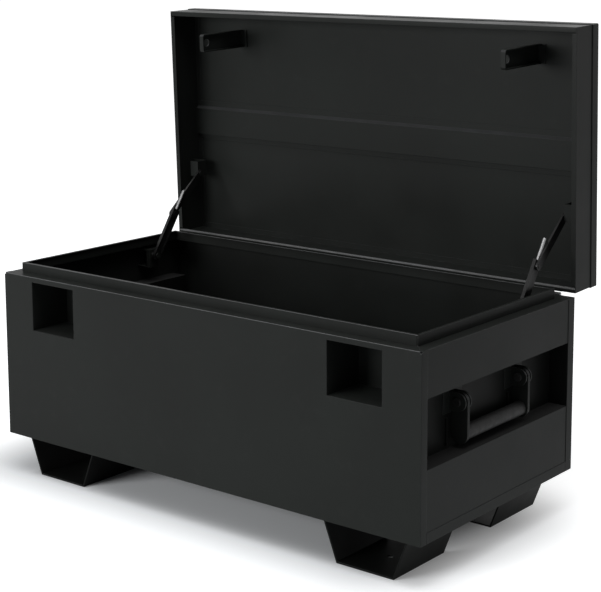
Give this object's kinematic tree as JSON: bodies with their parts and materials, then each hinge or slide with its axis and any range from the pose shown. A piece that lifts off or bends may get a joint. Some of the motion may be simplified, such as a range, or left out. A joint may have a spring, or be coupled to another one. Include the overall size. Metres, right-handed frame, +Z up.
{
  "type": "site storage chest",
  "caption": "Low steel site chest on channel feet with an open pan lid, folding stays, lock hooks, padlock pockets and drop handles in recessed ends.",
  "frame": {"origin": "middle of the four floor anchor holes, on the floor", "axes": "+X to the right along the front, +Y to the rear, +Z up"},
  "size_m": [1.22, 0.7007, 1.1039],
  "materials": {
    "powder_coat": "satin powder coat",
    "stay_paint": "satin paint",
    "bright_steel": "polished",
    "zinc_steel": "zinc plated",
    "grip_rubber": "matt"
  },
  "bodies": {
    "base": {"front_panel": "powder_coat", "rear_panel": "powder_coat", "left_upper_end_panel": "powder_coat", "right_upper_end_panel": "powder_coat", "left_lower_end_panel": "powder_coat", "right_lower_end_panel": "powder_coat", "floor_pan": "powder_coat", "coaming": "powder_coat", "left_handle_pan": "powder_coat", "right_handle_pan": "powder_coat", "left_padlock_pocket": "powder_coat", "right_padlock_pocket": "powder_coat", "front_left_foot": "powder_coat", "front_right_foot": "powder_coat", "rear_left_foot": "powder_coat", "rear_right_foot": "powder_coat", "left_stay_bracket": "powder_coat", "right_stay_bracket": "powder_coat", "left_hinge_body_leaf": "powder_coat", "middle_hinge_body_leaf": "powder_coat", "right_hinge_body_leaf": "powder_coat", "left_front_handle_bracket": "powder_coat", "left_rear_handle_bracket": "powder_coat", "right_front_handle_bracket": "powder_coat", "right_rear_handle_bracket": "powder_coat", "hinge_pins": "bright_steel", "left_handle_bolts": "zinc_steel", "right_handle_bolts": "zinc_steel"},
    "lid": {"lid_cover": "powder_coat", "lid_front_skirt": "powder_coat", "lid_rear_skirt": "powder_coat", "lid_left_skirt": "powder_coat", "lid_right_skirt": "powder_coat", "lid_stiffener": "powder_coat", "left_lock_hook": "powder_coat", "right_lock_hook": "powder_coat", "left_stay_lid_bracket": "powder_coat", "right_stay_lid_bracket": "powder_coat", "left_hinge_lid_leaf": "powder_coat", "middle_hinge_lid_leaf": "powder_coat", "right_hinge_lid_leaf": "powder_coat"},
    "left_handle": {"left_handle_front_arm": "powder_coat", "left_handle_rear_arm": "powder_coat", "left_handle_grip": "grip_rubber"},
    "left_stay_arm": {"left_stay_arm": "stay_paint"},
    "left_stay_link": {"left_stay_link": "stay_paint", "left_stay_rod": "bright_steel"},
    "right_handle": {"right_handle_front_arm": "powder_coat", "right_handle_rear_arm": "powder_coat", "right_handle_grip": "grip_rubber"},
    "right_stay_arm": {"right_stay_arm": "stay_paint"},
    "right_stay_link": {"right_stay_link": "stay_paint", "right_stay_rod": "bright_steel"}
  },
  "joints": [
    {"name": "lid_hinge", "type": "hinge", "parent": "base", "child": "lid", "pos_m": [0, 0.305, 0.496], "axis": [1, 0, 0], "range_deg": [0, 88]},
    {"name": "left_handle_swing", "type": "hinge", "parent": "base", "child": "left_handle", "pos_m": [-0.584, -0.002, 0.351], "axis": [0, 1, 0], "range_deg": [0, 85]},
    {"name": "left_stay_arm_swing", "type": "hinge", "parent": "lid", "child": "left_stay_arm", "pos_m": [-0.557, 0.33699, 0.66602], "axis": [1, 0, 0], "range_deg": [-75.46, 0]},
    {"name": "left_stay_link_swing", "type": "hinge", "parent": "base", "child": "left_stay_link", "pos_m": [-0.557, 0.159, 0.471], "axis": [1, 0, 0], "range_deg": [0, 149.57]},
    {"name": "right_handle_swing", "type": "hinge", "parent": "base", "child": "right_handle", "pos_m": [0.584, -0.002, 0.351], "axis": [0, -1, 0], "range_deg": [0, 85]},
    {"name": "right_stay_arm_swing", "type": "hinge", "parent": "lid", "child": "right_stay_arm", "pos_m": [0.557, 0.33699, 0.66602], "axis": [1, 0, 0], "range_deg": [-75.46, 0]},
    {"name": "right_stay_link_swing", "type": "hinge", "parent": "base", "child": "right_stay_link", "pos_m": [0.557, 0.159, 0.471], "axis": [1, 0, 0], "range_deg": [0, 149.57]}
  ],
  "couplings": [
    {"joint": "left_stay_arm_swing", "follows": "lid_hinge", "ratio": -0.85696},
    {"joint": "left_stay_link_swing", "follows": "lid_hinge", "ratio": 1.6991},
    {"joint": "right_stay_arm_swing", "follows": "lid_hinge", "ratio": -0.85696},
    {"joint": "right_stay_link_swing", "follows": "lid_hinge", "ratio": 1.6991}
  ]
}
